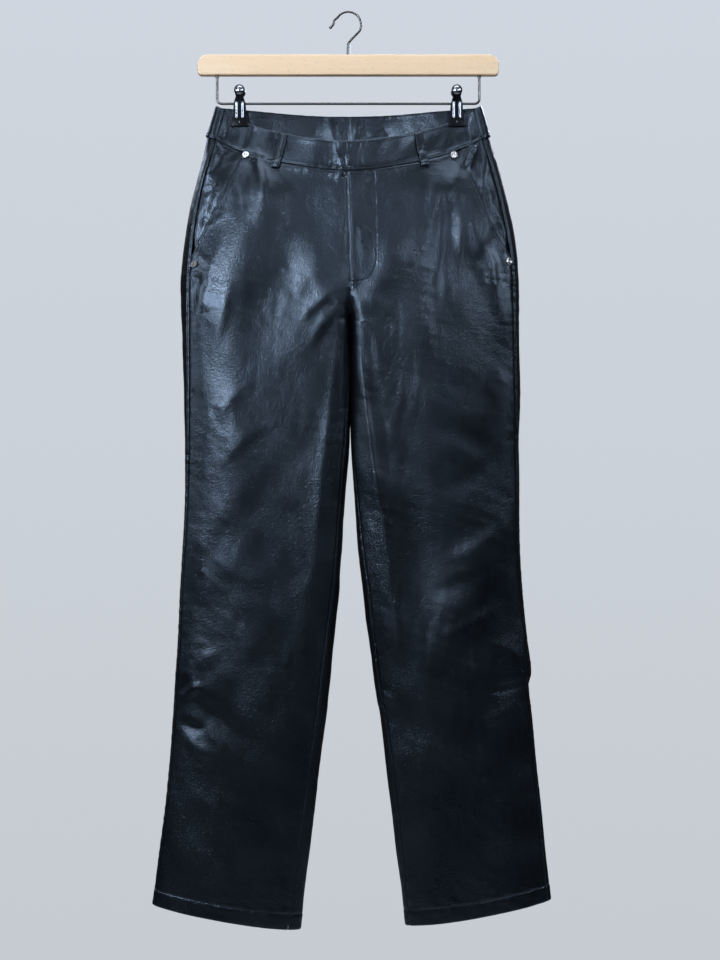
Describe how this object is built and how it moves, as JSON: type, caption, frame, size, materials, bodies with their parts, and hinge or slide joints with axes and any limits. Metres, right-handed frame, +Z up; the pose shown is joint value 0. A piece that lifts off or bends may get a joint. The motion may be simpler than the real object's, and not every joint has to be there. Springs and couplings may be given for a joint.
{
  "type": "leather trousers on a clip hanger",
  "caption": "High-waisted straight-leg leather trousers hung by the waistband from a wooden clip hanger.",
  "frame": {"origin": "top of the inside of the hook, where a wardrobe rail carries the hanger", "axes": "+Z up, -Y the wearer's front, +X to the right as seen from the front"},
  "size_m": [0.5086, 0.0666, 1.1747],
  "materials": {
    "leather": "smooth coated black leather with fine grain and a soft sheen",
    "nickel": "polished nickel",
    "chrome": "bright chrome",
    "rubber": "satin black rubber",
    "beech": "clear satin lacquer"
  },
  "bodies": {
    "root": {"front_panel_left": "leather", "back_panel_left": "leather", "pocket_facing_left": "leather", "waistband_front_left": "leather", "front_panel_right": "leather", "back_panel_right": "leather", "pocket_facing_right": "leather", "waistband_front_right": "leather", "waistband_back": "leather", "belt_loop_front_left": "leather", "belt_loop_front_right": "leather", "belt_loop_back_left": "leather", "belt_loop_back_right": "leather", "belt_loop_back_centre": "leather", "rivet_top_left": "nickel", "rivet_top_right": "nickel", "rivet_low_left": "nickel", "rivet_low_right": "nickel", "hanger_bar": "beech", "hanger_hook": "chrome", "clip_rail": "chrome", "clip_left_barrel": "chrome", "clip_left_leaf_front": "chrome", "clip_left_leaf_back": "chrome", "clip_right_barrel": "chrome", "clip_right_leaf_front": "chrome", "clip_right_leaf_back": "chrome", "clip_left_pad_front": "rubber", "clip_left_pad_back": "rubber", "clip_right_pad_front": "rubber", "clip_right_pad_back": "rubber"}
  },
  "joints": []
}
